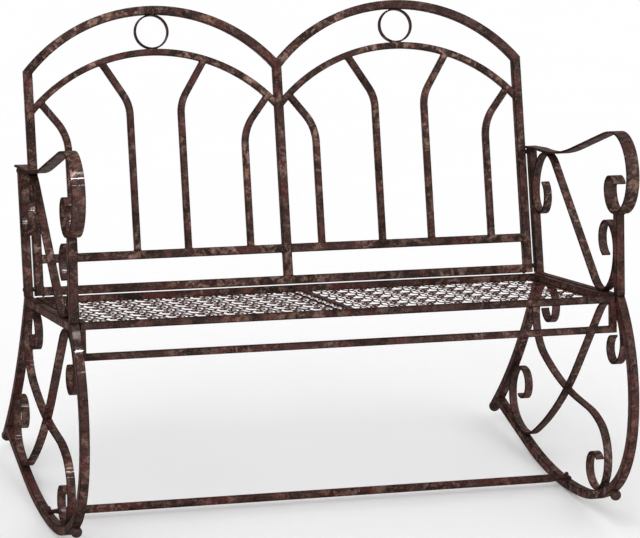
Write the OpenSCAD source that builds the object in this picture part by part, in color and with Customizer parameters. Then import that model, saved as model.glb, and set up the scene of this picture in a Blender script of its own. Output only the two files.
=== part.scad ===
// Garden rocking bench of welded square tube and flat bar, in millimetres.
// X runs along the bench, Y runs from front to back and Z is up; the floor is Z = 0.
// Left is the -X end. The origin is on the floor, at the middle of the bench's overall box.

/* [Bench] */
// Distance between the middles of the left and right side frames
frame_span = 1040; // [1000:10:1080]
// Height of the outer arches, measured along the back from the floor plane
outer_crown = 976; // [972:1:984]
// Outer diameter of the rings between the outer and the inner arches
ring_d = 68; // [60:1:76]
// Distance between the two spindles in the middle of each half of the back
inner_spindle_gap = 102; // [90:2:116]
// Distance between the two outer spindles in each half of the back
outer_spindle_gap = 353; // [340:2:360]

/* [Bars] */
// Wall thickness of the square tubes
tube_wall = 1.5; // [1:0.25:2]
// Width of the flat armrest bars
arm_w = 25; // [20:1:32]
// Width of the flat bars bent into scrolls
scroll_w = 16; // [12:1:16]
// Depth of the rings in the crown of the back
ring_w = 12; // [8:1:16]
// Wall thickness of the rings in the crown of the back
ring_wall = 3; // [2:0.5:5]

/* [Seat] */
// Thickness of the punched seat sheets
sheet_t = 1.5; // [1:0.25:2]
// Across-flats size of the large holes in the seat sheets
seat_hole = 41; // [30:1:44]
// Width of the small diamond holes between the large ones
seat_diamond = 15; // [8:1:24]

/* [Fasteners] */
// Shank diameter of the frame bolts
bolt_d = 6; // [5:0.5:6]
// Diameter of the spacers between the bolted frames
spacer_d = 9; // [8:0.5:11]
// Diameter of the balls at the front of the rockers
front_ball_d = 21; // [20:0.5:23]
// Diameter of the balls at the rear of the rockers
rear_ball_d = 23; // [22:0.5:25]

/* [Hidden] */
$fn = 48;
chord_gap = 0.08;
far = 2000;

// Lean of the whole bench at rest, where its centre of mass is right over the rockers' contact
rest_lean = 9.9;
// Y of the middle of the overall box from the middle of the rockers' floor arc, at rest
box_mid_y = -18.9;

// Bar sizes
tube = 16;
slim = 12;
flat_t = 4;
centre_bar_t = 3;
side_x = frame_span / 2;

// Side frame heights and places, with Y measured from the middle of the front post
rail_top = 416;
rail_z = rail_top - tube / 2;
front_post_top = 569.4;
arm_top = 668;
back_lean = 8.36;
back_y0 = 394.7;
rear_post_ahead = 5.3;

// Joint of front leg and rocker, and the heading of both bars there
toe_y = 39;
toe_z = 45;
toe_heading = -24.7;

// Radii of the front bend of a rocker and of its floor arc, and the middle of the floor arc
toe_r = 404;
toe_turn = 23.9;
floor_r = 955;
floor_arc_heading = toe_heading + toe_turn;
floor_arc_y = toe_y - toe_r * sin(toe_heading) - (floor_r - toe_r) * sin(floor_arc_heading);
floor_arc_z = toe_z + toe_r * cos(toe_heading) + (floor_r - toe_r) * cos(floor_arc_heading);

// Places of the balls at the toe and on the end of the rear leg
front_ball_back = 3.2;
front_ball_drop = 8.8;
rear_ball_out = 8.5;

// Back panel, measured along its own plane
panel_half = side_x - 22;
bottom_rail_s = 428.6;
mid_rail_s = 491;
bay_inner = tube / 2;
bay_outer = panel_half - tube / 2;
bay_mid = (bay_inner + bay_outer) / 2;
arch_r = 335;
inner_crown = outer_crown - tube - ring_d;
outer_arch_s = outer_crown - arch_r;
inner_arch_s = inner_crown - arch_r;
ring_s = inner_crown + ring_d / 2;
outer_bend_s = 698;
inner_bend_s = 764;

// Seat frame
seat_front_y = 0;
seat_rear_y = 431;
seat_z = 409.5;
seat_side_x = side_x - 17.5;
seat_bolt_y = [60, 390];
apron_top = 358.6;
apron_x = side_x - 14;
motif_cols = 9;
motif_rows = 8;
sheet_x0 = 0.5;
sheet_x1 = seat_side_x - 3.5;
sheet_y0 = seat_front_y - 4;
sheet_y1 = seat_rear_y + 4;
pitch_x = (sheet_x1 - sheet_x0) / motif_cols;
pitch_y = (sheet_y1 - sheet_y0) / motif_rows;

// Flattened ends of the lower stretcher, and the solid length of tube inside each
tab_end = side_x + tube / 2;
tab_start = side_x - tube / 2 - 14;
tab_overlap = 10;
tab_plug = 8;

// Fasteners
head_d = 11;
head_h = 2.4;
nut_af = 10;
nut_h = 5;
bolt_end = 2;
back_bolt_z = [429, 657];
back_bolt_ahead = 2.6;
// Threaded inserts inside the back posts, and the face of the wall that each is fixed to
insert_wall = 0.8;
insert_h = 8;
back_nut_face = panel_half + tube / 2 - tube_wall;
stud_d = 5;
cap_af = 8;
cap_hex_h = 5.5;
cap_bore = 6;
stretcher_tilt = 5.2;
stretcher_r = floor_r - tube / 2 - flat_t / 2;

bronze = "#3b2c27";
copper = "#6b4636";

// Section of a bar: thickness in the plane of the bend, width across it and wall, where 0 is solid
tube_section = [tube, tube, tube_wall];
slim_section = [slim, slim, tube_wall];
scroll_section = [flat_t, scroll_w, 0];
arm_section = [flat_t, arm_w, 0];

// Runs of bent bar in a side frame: a start point and heading, then steps that are each
// [radius, turn], with a left turn positive, or [0, length]
front_leg_start = [9.6, 420, -135];
front_leg_steps = [[270.6, 56.1], [183.8, 54.2]];
rear_leg_start = [442.2, 420, -58.7];
rear_leg_steps = [[1038.8, 23.7]];
// Turn of the rear leg from its top to the rocker's joint
heel_turn = 21.8;
rocker_start = [toe_y, toe_z, toe_heading];
rocker_steps = [[toe_r, toe_turn], [floor_r, 20.2], [0, 184]];
arm_start = [498, arm_top - flat_t / 2, 180];
arm_steps = [
    [0, 60], [244.5, 4.6], [662.6, -17], [0, 174.4], [237.5, 11.4],
    [79.3, 86.7], [71.4, 103.4], [42, 77.4], [25.5, 153.7]
];
// Halves of the upper scroll, both from its middle; the rear half is then turned about the middle
half_scroll_start = [236.8, 538.8, -136.6];
front_scroll_steps = [[0, 149.7], [65, -79], [85, -55], [0, 3.8], [50, -63], [34, -182]];
rear_scroll_steps = [[0, 149.7], [65, -79], [85, -55], [40, -63], [34, -172]];
long_scroll_start = [32, 335, -19.5];
long_scroll_steps = [
    [25.6, -154], [44.4, -99.7], [69.6, -73], [80, -58], [0, 168.7],
    [837, 21.2], [114.7, 61], [60, 163], [29.7, 193]
];
cross_scroll_start = [415.8, 347.1, -108];
cross_scroll_steps = [
    [33.3, -213], [66, -131.4], [91, -60.3], [639, -18.5], [0, 58.2],
    [201, 18.9], [73.1, 104.3], [50, 90], [32.2, 184]
];

// The whole bench leans back to its rest pose by rolling on the rockers
module placed() {
    translate([0, -box_mid_y, floor_r + tube / 2])
        rotate([-rest_lean, 0, 0])
            translate([0, -floor_arc_y, -floor_arc_z])
                children();
}

// Number of chords that follow an arc to within chord_gap
function chords(radius, turn) = max(1, ceil(abs(turn) / (2 * acos(1 - chord_gap / radius))));

// Point and heading after turning by some angle on an arc that starts at p
function on_arc(p, radius, side, angle) = [
    p[0] + side * radius * (sin(p[2] + angle) - sin(p[2])),
    p[1] - side * radius * (cos(p[2] + angle) - cos(p[2])),
    p[2] + angle
];

function moved_on(p, length) = [p[0] + length * cos(p[2]), p[1] + length * sin(p[2]), p[2]];

// Middle line of a run as [x, y, heading] points, each step starting where the last one ends
function run_points(p, steps, i = 0) =
    i == len(steps) ? [p]
    : let (radius = steps[i][0], turn = steps[i][1])
        radius == 0 ? concat([p], run_points(moved_on(p, turn), steps, i + 1))
        : let (n = chords(radius, turn), side = turn > 0 ? 1 : -1)
            concat([for (k = [0 : n - 1]) on_arc(p, radius, side, turn * k / n)],
                   run_points(on_arc(p, radius, side, turn), steps, i + 1));

function last(points) = points[len(points) - 1];

// The same middle line, its first and last points moved out a little
function longer(points) = [for (i = [0 : len(points) - 1])
    moved_on(points[i], i == 0 ? -1 : i == len(points) - 1 ? 1 : 0)];

// Outline of a band of some thickness along a middle line
function band(points, thickness) = concat(
    [for (p = points) [p[0] - thickness / 2 * sin(p[2]), p[1] + thickness / 2 * cos(p[2])]],
    [for (i = [len(points) - 1 : -1 : 0])
        let (p = points[i]) [p[0] + thickness / 2 * sin(p[2]), p[1] - thickness / 2 * cos(p[2])]]
);

// Bar or tube along a middle line; section is [thickness in the plane, width across it, wall]
module bar(points, section) {
    difference() {
        linear_extrude(section[1], center = true)
            polygon(band(points, section[0]));
        if (section[2] > 0)
            linear_extrude(section[1] - 2 * section[2], center = true)
                polygon(band(longer(points), section[0] - 2 * section[2]));
    }
}

module run_from(start, steps, section) {
    bar(run_points(start, steps), section);
}

// Straight bar along X
module straight(length, section) {
    bar([[0, 0, 0], [length, 0, 0]], section);
}

// Plane of a side frame: local X is the bench's Y and local Y is up
module side_plane(x) {
    translate([x, 0, 0])
        rotate([90, 0, 90])
            children();
}

// Upright rectangle of the side plane, as a block across the bar
module side_block(y0, y1, z0, z1, w = 40) {
    translate([y0, z0, -w / 2])
        cube([y1 - y0, z1 - z0, w]);
}

// Plane of the back: local Y runs up the back and local Z points to the front
module back_plane() {
    translate([0, back_y0, 0])
        rotate([90 - back_lean, 0, 0])
            children();
}

module hex_prism(af, h) {
    cylinder(d = af / cos(30), h = h, $fn = 6);
}

// Side frames

module rear_post(x) {
    color(bronze) placed()
        difference() {
            side_plane(x)
                intersection() {
                    translate([back_y0 - rear_post_ahead, 0, 0])
                        rotate([0, 0, 90 - back_lean])
                            translate([rail_top - tube, 0, 0])
                                straight(arm_top - rail_top + 3 * tube, tube_section);
                    side_block(0, far, rail_top, arm_top - flat_t);
                }
            back_plane()
                back_bolt_holes(sign(x), 0);
        }
}

module front_post(x) {
    color(bronze) placed() side_plane(x)
        translate([0, rail_top, 0])
            rotate([0, 0, 90])
                straight(front_post_top - rail_top, tube_section);
}

module side_rail(x) {
    color(bronze) placed() side_plane(x)
        difference() {
            translate([1, rail_z, 0])
                straight(448, tube_section);
            run_from(front_leg_start, [front_leg_steps[0]], [tube, tube, 0]);
            run_from(rear_leg_start, rear_leg_steps, [tube, tube, 0]);
            for (y = seat_bolt_y)
                translate([y, seat_z, 0])
                    cylinder(d = bolt_d, h = 2 * tube, center = true);
        }
}

module armrest(x) {
    color(bronze) placed() side_plane(x)
        run_from(arm_start, arm_steps, arm_section);
}

// Scroll between the posts, with a curl at each end
module upper_scroll(x) {
    front = run_points(half_scroll_start, front_scroll_steps);
    rear = run_points(half_scroll_start, rear_scroll_steps);
    turned = [for (i = [len(rear) - 1 : -1 : 1])
        [2 * rear[0][0] - rear[i][0], 2 * rear[0][1] - rear[i][1], rear[i][2]]];
    color(bronze) placed() side_plane(x)
        bar(concat(turned, front), scroll_section);
}

module front_leg(x) {
    color(bronze) placed() side_plane(x)
        difference() {
            run_from(front_leg_start, front_leg_steps, tube_section);
            side_block(-40, 60, rail_top, rail_top + 40);
        }
}

module rear_leg(x) {
    color(bronze) placed() side_plane(x)
        difference() {
            run_from(rear_leg_start, rear_leg_steps, tube_section);
            side_block(400, 500, rail_top, rail_top + 40);
        }
}

// Rocker, cut off flat where it meets the face of the rear leg
module rocker(x) {
    joint = on_arc(rear_leg_start, rear_leg_steps[0][0], 1, heel_turn);
    color(bronze) placed() side_plane(x)
        difference() {
            run_from(rocker_start, rocker_steps, tube_section);
            translate([joint[0], joint[1], 0])
                rotate([0, 0, joint[2]])
                    side_block(-80, 80, -tube / 2, 80);
        }
}

module long_scroll_run() {
    run_from(long_scroll_start, long_scroll_steps, scroll_section);
}

module long_scroll(x) {
    color(bronze) placed() side_plane(x) long_scroll_run();
}

module cross_scroll(x) {
    color(bronze) placed() side_plane(x)
        difference() {
            run_from(cross_scroll_start, cross_scroll_steps, scroll_section);
            long_scroll_run();
        }
}

// Ball under the joint of front leg and rocker, with a flat where it is welded on
module front_ball(x) {
    placed() side_plane(x)
        translate([toe_y, toe_z, 0])
            rotate([0, 0, toe_heading])
                intersection() {
                    translate([-front_ball_back, -tube / 2 - front_ball_drop, 0])
                        sphere(d = front_ball_d);
                    side_block(-far, far, -far, -tube / 2);
                }
}

// Ball on the end of the rear leg, with a flat where it is welded on
module rear_ball(x) {
    end = last(run_points(rear_leg_start, rear_leg_steps));
    placed() side_plane(x)
        translate([end[0], end[1], 0])
            rotate([0, 0, end[2]])
                intersection() {
                    translate([rear_ball_out, 0, 0])
                        sphere(d = rear_ball_d);
                    side_block(0, far, -far, far, 2 * rear_ball_d);
                }
}

module front_balls() {
    color(copper) for (side = [-1, 1]) front_ball(side * side_x);
}

module rear_balls() {
    color(copper) for (side = [-1, 1]) rear_ball(side * side_x);
}

// Back

// Round area inside an arch of the right half, as deep as the whole back
module arch_disc(s, r) {
    translate([bay_mid, s, -tube])
        cylinder(r = r, h = 2 * tube, $fn = 180);
}

// Block of the back plane from one point to another
module back_block(x0, x1, s0, s1, deep) {
    translate([x0, s0, -deep / 2])
        cube([x1 - x0, s1 - s0, deep]);
}

// Area under the outer arch of the right half, down past the foot of the back
module under_arch() {
    arch_disc(outer_arch_s, arch_r - tube);
    back_block(-tube, panel_half + tube, 0, outer_arch_s, 2 * tube);
}

// Bolt holes along X through a side post of the back and the rear post beside it
module back_bolt_holes(side, x0) {
    mirror([side < 0 ? 1 : 0, 0, 0])
        for (z = back_bolt_z)
            translate([x0, z / cos(back_lean), back_bolt_ahead])
                rotate([0, 90, 0])
                    cylinder(d = bolt_d, h = far);
}

module back_post(side) {
    color(bronze) placed() back_plane() mirror([side < 0 ? 1 : 0, 0, 0])
        difference() {
            intersection() {
                translate([panel_half, bottom_rail_s - tube / 2, 0])
                    rotate([0, 0, 90])
                        straight(outer_crown - bottom_rail_s, tube_section);
                under_arch();
            }
            back_bolt_holes(1, panel_half);
        }
}

module centre_back_post() {
    color(bronze) placed() back_plane()
        intersection() {
            translate([0, bottom_rail_s + tube / 2, 0])
                rotate([0, 0, 90])
                    straight(outer_crown - bottom_rail_s, tube_section);
            union() {
                under_arch();
                mirror([1, 0, 0])
                    under_arch();
            }
        }
}

module back_bottom_rail() {
    color(bronze) placed() back_plane()
        translate([-bay_outer, bottom_rail_s, 0])
            straight(2 * bay_outer, tube_section);
}

module mid_rail(side) {
    color(bronze) placed() back_plane() mirror([side < 0 ? 1 : 0, 0, 0])
        translate([bay_inner, mid_rail_s, 0])
            straight(bay_outer - bay_inner, tube_section);
}

// Arched tube over one half of the back, cut off at two upright faces
module arch(s, section, x0, x1) {
    intersection() {
        translate([bay_mid, s, 0])
            rotate_extrude(angle = 180, $fn = 180)
                translate([arch_r - section[0] / 2, 0])
                    difference() {
                        square([section[0], section[1]], center = true);
                        square([section[0] - 2 * section[2], section[1] - 2 * section[2]],
                               center = true);
                    }
        back_block(x0, x1, s, s + 2 * arch_r, 2 * tube);
    }
}

module outer_arch(side) {
    color(bronze) placed() back_plane() mirror([side < 0 ? 1 : 0, 0, 0])
        arch(outer_arch_s, tube_section, 0, panel_half + tube / 2);
}

module inner_arch(side) {
    color(bronze) placed() back_plane() mirror([side < 0 ? 1 : 0, 0, 0])
        arch(inner_arch_s, slim_section, bay_inner, bay_outer);
}

module ring(side) {
    color(bronze) placed() back_plane()
        translate([side * bay_mid, ring_s, -ring_w / 2])
            difference() {
                cylinder(d = ring_d, h = ring_w, $fn = 96);
                translate([0, 0, -1])
                    cylinder(d = ring_d - 2 * ring_wall, h = ring_w + 2, $fn = 96);
            }
}

// Two spindles of one half of the back, bent away from each other at the top
module spindle_pair(side, gap, bend_s, bend_r, bend_turn) {
    foot_s = mid_rail_s + tube / 2;
    color(bronze) placed() back_plane()
        translate([side * bay_mid, 0, 0])
            for (flip = [0, 1])
                mirror([flip, 0, 0])
                    intersection() {
                        run_from([gap / 2, foot_s, 90],
                                 [[0, bend_s - foot_s], [bend_r, -bend_turn], [0, 200]],
                                 slim_section);
                        translate([0, inner_arch_s, -tube])
                            cylinder(r = arch_r - slim, h = 2 * tube, $fn = 180);
                    }
}

module outer_spindles(side) {
    spindle_pair(side, outer_spindle_gap, outer_bend_s, 90, 38);
}

module inner_spindles(side) {
    spindle_pair(side, inner_spindle_gap, inner_bend_s, 75, 32);
}

// Seat

module x_tube(x0, x1, y, z, size) {
    translate([x0, y, z])
        straight(x1 - x0, [size, size, tube_wall]);
}

module seat_front_rail() {
    color(bronze) placed()
        x_tube(-seat_side_x - slim / 2, seat_side_x + slim / 2, seat_front_y, seat_z, slim);
}

module seat_rear_rail() {
    color(bronze) placed()
        x_tube(-seat_side_x - slim / 2, seat_side_x + slim / 2, seat_rear_y, seat_z, slim);
}

module seat_rail(side) {
    color(bronze) placed()
        difference() {
            translate([side * seat_side_x, seat_front_y + slim / 2, seat_z])
                rotate([0, 0, 90])
                    straight(seat_rear_y - seat_front_y - slim, slim_section);
            for (y = seat_bolt_y)
                translate([side * seat_side_x, y, seat_z])
                    rotate([0, 90, 0])
                        cylinder(d = bolt_d, h = 2 * slim, center = true);
        }
}

// Flat bar between front and rear rail, flush with their top
module seat_centre_bar() {
    color(bronze) placed()
        translate([0, seat_front_y + slim / 2, seat_z + slim / 2 - centre_bar_t / 2])
            rotate([0, 0, 90])
                straight(seat_rear_y - seat_front_y - slim, [slim, centre_bar_t, 0]);
}

// Sheet punched with a regular grid of large holes and small diamonds between them
module seat_sheet(side) {
    color(copper) placed() mirror([side < 0 ? 1 : 0, 0, 0])
        translate([0, 0, seat_z - slim / 2 - sheet_t])
            difference() {
                translate([sheet_x0, sheet_y0, 0])
                    cube([sheet_x1 - sheet_x0, sheet_y1 - sheet_y0, sheet_t]);
                for (i = [0.5 : motif_cols - 0.5], j = [0.5 : motif_rows - 0.5])
                    translate([sheet_x0 + i * pitch_x, sheet_y0 + j * pitch_y, -1])
                        rotate([0, 0, 22.5])
                            cylinder(d = seat_hole / cos(22.5), h = sheet_t + 2, $fn = 8);
                for (i = [1 : motif_cols - 1], j = [1 : motif_rows - 1])
                    translate([sheet_x0 + i * pitch_x, sheet_y0 + j * pitch_y, -1])
                        cylinder(d = seat_diamond, h = sheet_t + 2, $fn = 4);
            }
}

// Front apron and the stretcher between the rockers

module apron_posts() {
    color(bronze) placed()
        for (side = [-1, 1])
            translate([side * apron_x, seat_front_y, apron_top])
                rotate([0, -90, 0])
                    straight(seat_z - slim / 2 - apron_top, slim_section);
}

module apron_stretcher() {
    reach = apron_x + slim / 2;
    color(bronze) placed()
        x_tube(-reach, reach, seat_front_y, apron_top - slim / 2, slim);
}

// Local frame of the lower stretcher: on top of the rockers, in line with their slope
module on_rockers() {
    placed()
        translate([0, floor_arc_y, floor_arc_z])
            rotate([stretcher_tilt, 0, 0])
                translate([0, 0, -stretcher_r])
                    children();
}

module lower_stretcher() {
    color(bronze) on_rockers()
        difference() {
            union() {
                difference() {
                    translate([-tab_start - tab_overlap, 0, 0])
                        rotate([0, 90, 0])
                            cylinder(d = tube, h = 2 * (tab_start + tab_overlap));
                    for (side = [-1, 1])
                        for (face = [-1, 1])
                            translate([side * (tab_start + tab_overlap), 0,
                                       face * (flat_t + tube) / 2])
                                cube([2 * tab_overlap, 2 * tube, tube], center = true);
                    translate([-tab_start + tab_plug, 0, 0])
                        rotate([0, 90, 0])
                            cylinder(d = tube - 2 * tube_wall, h = 2 * (tab_start - tab_plug));
                }
                for (side = [-1, 1])
                    translate([side * (tab_start + tab_end) / 2, 0, 0])
                        cube([tab_end - tab_start, tube, flat_t], center = true);
            }
            for (side = [-1, 1])
                translate([side * side_x, 0, 0])
                    cylinder(d = stud_d, h = tube, center = true);
        }
}

// Places along the back's side posts where it is bolted to the rear posts of the side frames
module back_fasteners() {
    placed() back_plane()
        for (flip = [0, 1])
            mirror([flip, 0, 0])
                for (z = back_bolt_z)
                    translate([0, z / cos(back_lean), back_bolt_ahead])
                        rotate([0, 90, 0])
                            children();
}

// Places along the seat's side rails where it is bolted to the side frames
module seat_fasteners() {
    placed()
        for (flip = [0, 1])
            mirror([flip, 0, 0])
                for (y = seat_bolt_y)
                    translate([0, y, seat_z])
                        rotate([0, 90, 0])
                            children();
}

// Bolt seen along its axis, its low round head seated at head_seat and its tip at tip
module bolt(head_seat, tip) {
    head_r = (head_d * head_d / 4 + head_h * head_h) / (2 * head_h);
    translate([0, 0, head_seat])
        intersection() {
            translate([0, 0, head_h - head_r])
                sphere(r = head_r);
            cylinder(d = head_d, h = head_h);
        }
    translate([0, 0, tip])
        cylinder(d = bolt_d, h = head_seat - tip);
}

// Hexagon nut that ends at face
module nut(face) {
    translate([0, 0, face - nut_h])
        difference() {
            hex_prism(nut_af, nut_h);
            translate([0, 0, -1])
                cylinder(d = bolt_d, h = nut_h + 2);
        }
}

module spacer(z0, z1) {
    translate([0, 0, z0])
        difference() {
            cylinder(d = spacer_d, h = z1 - z0);
            translate([0, 0, -1])
                cylinder(d = bolt_d, h = z1 - z0 + 2);
        }
}

module back_bolts() {
    color(copper) back_fasteners()
        bolt(side_x + tube / 2, back_nut_face - insert_h - bolt_end);
}

module back_inserts() {
    color(copper) back_fasteners()
        translate([0, 0, back_nut_face - insert_h])
            difference() {
                cylinder(d = bolt_d + 2 * insert_wall, h = insert_h);
                translate([0, 0, -1])
                    cylinder(d = bolt_d, h = insert_h + 2);
            }
}

module back_spacers() {
    color(bronze) back_fasteners() spacer(panel_half + tube / 2, side_x - tube / 2);
}

module seat_bolts() {
    color(copper) seat_fasteners()
        bolt(side_x + tube / 2, seat_side_x - slim / 2 - nut_h - bolt_end);
}

module seat_nuts() {
    color(copper) seat_fasteners() nut(seat_side_x - slim / 2);
}

module seat_spacers() {
    color(bronze) seat_fasteners() spacer(seat_side_x + slim / 2, side_x - tube / 2);
}

module stretcher_studs() {
    color(copper) on_rockers()
        for (side = [-1, 1])
            translate([side * side_x, 0, -flat_t / 2])
                cylinder(d = stud_d, h = flat_t + cap_bore);
}

module stretcher_cap_nuts() {
    color(copper) on_rockers()
        for (side = [-1, 1])
            translate([side * side_x, 0, flat_t / 2])
                difference() {
                    union() {
                        hex_prism(cap_af, cap_hex_h);
                        translate([0, 0, cap_hex_h])
                            intersection() {
                                sphere(d = cap_af);
                                translate([0, 0, cap_af])
                                    cube(2 * cap_af, center = true);
                            }
                    }
                    translate([0, 0, -1])
                        cylinder(d = stud_d, h = cap_bore + 1);
                }
}

rear_post(-side_x);  // left_rear_post
rear_post(side_x);  // right_rear_post
front_post(-side_x);  // left_front_post
front_post(side_x);  // right_front_post
side_rail(-side_x);  // left_side_rail
side_rail(side_x);  // right_side_rail
armrest(-side_x);  // left_armrest
armrest(side_x);  // right_armrest
upper_scroll(-side_x);  // left_upper_scroll
upper_scroll(side_x);  // right_upper_scroll
front_leg(-side_x);  // left_front_leg
front_leg(side_x);  // right_front_leg
rear_leg(-side_x);  // left_rear_leg
rear_leg(side_x);  // right_rear_leg
rocker(-side_x);  // left_rocker
rocker(side_x);  // right_rocker
long_scroll(-side_x);  // left_long_scroll
long_scroll(side_x);  // right_long_scroll
cross_scroll(-side_x);  // left_cross_scroll
cross_scroll(side_x);  // right_cross_scroll
front_balls();
rear_balls();
back_post(-1);  // left_back_post
back_post(1);  // right_back_post
centre_back_post();
back_bottom_rail();
mid_rail(-1);  // left_mid_rail
mid_rail(1);  // right_mid_rail
outer_arch(-1);  // left_outer_arch
outer_arch(1);  // right_outer_arch
inner_arch(-1);  // left_inner_arch
inner_arch(1);  // right_inner_arch
ring(-1);  // left_ring
ring(1);  // right_ring
outer_spindles(-1);  // left_outer_spindles
outer_spindles(1);  // right_outer_spindles
inner_spindles(-1);  // left_inner_spindles
inner_spindles(1);  // right_inner_spindles
seat_front_rail();
seat_rear_rail();
seat_rail(-1);  // left_seat_rail
seat_rail(1);  // right_seat_rail
seat_centre_bar();
seat_sheet(-1);  // left_seat_sheet
seat_sheet(1);  // right_seat_sheet
apron_posts();
apron_stretcher();
lower_stretcher();
back_bolts();
back_inserts();
back_spacers();
seat_bolts();
seat_nuts();
seat_spacers();
stretcher_studs();
stretcher_cap_nuts();
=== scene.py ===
"""Looks of the garden rocking bench: rounded tubes and bars, weld beads, punched seat and bronze finish.

Lengths in the bench's own frame are in millimetres, as it is drawn: X along the bench, Y to the
back from the front post, Z up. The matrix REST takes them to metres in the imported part's frame,
where the whole bench leans back on its rockers.
"""

import math

import bmesh
import bpy
import numpy as np
from mathutils import Matrix, Vector, noise
from mathutils.geometry import delaunay_2d_cdt

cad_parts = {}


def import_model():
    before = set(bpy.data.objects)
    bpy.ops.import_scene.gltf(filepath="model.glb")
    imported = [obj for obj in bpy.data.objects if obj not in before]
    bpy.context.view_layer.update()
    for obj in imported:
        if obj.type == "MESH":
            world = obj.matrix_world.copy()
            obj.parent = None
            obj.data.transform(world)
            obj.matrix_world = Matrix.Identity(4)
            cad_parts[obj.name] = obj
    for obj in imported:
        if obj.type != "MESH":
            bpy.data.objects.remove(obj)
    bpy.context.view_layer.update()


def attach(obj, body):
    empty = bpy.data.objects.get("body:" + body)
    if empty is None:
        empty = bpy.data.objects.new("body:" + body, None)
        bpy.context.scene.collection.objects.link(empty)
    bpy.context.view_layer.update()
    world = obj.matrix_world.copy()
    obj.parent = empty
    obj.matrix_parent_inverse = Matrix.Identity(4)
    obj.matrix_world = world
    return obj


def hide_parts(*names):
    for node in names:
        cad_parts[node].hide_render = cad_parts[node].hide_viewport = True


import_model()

# Bench: span of the side frames, lean and middle of the box at rest, sizes of the stock, heights
# and the line of the back
MM = 0.001
FRAME_SPAN = 1040
SIDE_X = FRAME_SPAN / 2
REST_LEAN = 9.9
BOX_MID_Y = -18.9
TUBE = 16
SLIM = 12
TUBE_WALL = 1.5
FLAT_T = 4
CENTRE_BAR_T = 3
ARM_W = 25
SCROLL_W = 16
RAIL_TOP = 416
FRONT_POST_TOP = 569.4
ARM_TOP = 668
BACK_LEAN = 8.36
BACK_Y0 = 394.7
REAR_POST_AHEAD = 5.3
RAIL_FROM = 10
RAIL_TO = 440

# Rockers: the joint with the front leg as (y, z, heading), then radii and turns
TOE = (39, 45, -24.7)
TOE_R = 404
TOE_TURN = 23.9
FLOOR_R = 955
FLOOR_HEADING = TOE[2] + TOE_TURN
HEEL_TURN = 21.8

# Runs of bent bar: each step is (radius, turn), with a left turn positive, or (0, length)
FRONT_LEG = (9.6, 420, -135), [(270.6, 56.1), (183.8, 54.2)]
REAR_LEG = (442.2, 420, -58.7), [(1038.8, 23.7)]
ROCKER = TOE, [(TOE_R, TOE_TURN), (FLOOR_R, 20.2), (0, 184)]
ARMREST = (498, ARM_TOP - FLAT_T / 2, 180), [
    (0, 60), (244.5, 4.6), (662.6, -17), (0, 174.4), (237.5, 11.4),
    (79.3, 86.7), (71.4, 103.4), (42, 77.4), (25.5, 153.7)]
FRONT_SCROLL = (236.8, 538.8, -136.6), [(0, 149.7), (65, -79), (85, -55), (0, 3.8), (50, -63), (34, -182)]
REAR_SCROLL = FRONT_SCROLL[0], [(0, 149.7), (65, -79), (85, -55), (40, -63), (34, -172)]
LONG_SCROLL = (32, 335, -19.5), [
    (25.6, -154), (44.4, -99.7), (69.6, -73), (80, -58), (0, 168.7),
    (837, 21.2), (114.7, 61), (60, 163), (29.7, 193)]
CROSS_SCROLL = (415.8, 347.1, -108), [
    (33.3, -213), (66, -131.4), (91, -60.3), (639, -18.5), (0, 58.2),
    (201, 18.9), (73.1, 104.3), (50, 90), (32.2, 184)]

# Balls: diameter, place past their joint and height of the flat that is welded on. Each has a
# weld collar, given as (radius, height) points
FRONT_BALL_D = 21
FRONT_BALL_BACK = 3.2
FRONT_BALL_DROP = 8.8
FRONT_BALL_FLAT = 9.3
FRONT_COLLAR = [(0, 0.6), (6.6, 0.4), (7.2, -0.4), (6.4, -1.6), (5.6, -2.4)]
REAR_BALL_D = 23
REAR_BALL_OUT = 8.5
REAR_BALL_FLAT = 9.2
REAR_COLLAR = [(0, 0.6), (8.2, 0.5), (8.9, -0.3), (8.4, -1.5), (7.6, -2.4)]

# Back, measured along its own plane. Spindles: gap at the foot, start, radius and turn of the bend
PANEL_HALF = SIDE_X - 22
BOTTOM_RAIL_S = 428.6
MID_RAIL_S = 491
BAY_INNER = TUBE / 2
BAY_OUTER = PANEL_HALF - TUBE / 2
BAY_MID = (BAY_INNER + BAY_OUTER) / 2
ARCH_R = 335
OUTER_CROWN = 976
RING_D = 68
RING_WALL = 3
RING_W = 12
INNER_CROWN = OUTER_CROWN - TUBE - RING_D
OUTER_ARCH_S = OUTER_CROWN - ARCH_R
INNER_ARCH_S = INNER_CROWN - ARCH_R
SPINDLES = {"outer": (353, 698, 90, 38), "inner": (102, 764, 75, 32)}
POST_REACH = 840
CENTRE_POST_REACH = 830
BACK_BOLT_Z = (429, 657)
BACK_BOLT_AHEAD = 2.6

# Seat, apron and stretcher
SEAT_REAR_Y = 431
SEAT_Z = 409.5
SEAT_SIDE_X = SIDE_X - 17.5
SEAT_BOLT_Y = (60, 390)
APRON_TOP = 358.6
APRON_X = SIDE_X - 14
SHEET_T = 1.2
SHEET_GAP = 0.5
SHEET_SHORT = 3.5
SHEET_PAST = 4
MOTIF_COLS = 9
MOTIF_ROWS = 8
STRETCHER_TILT = 5.2
STRETCHER_R = FLOOR_R - TUBE / 2 - FLAT_T / 2
STRETCHER_SIDES = 40

# Left end of the lower stretcher, pressed flat, as (x, share of its round section)
STRETCHER_END = [(-528, 0.0), (-526, 0.0), (-509, 0.0), (-503, 0.3), (-497, 0.62), (-489, 0.9), (-480, 1.0)]

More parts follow.
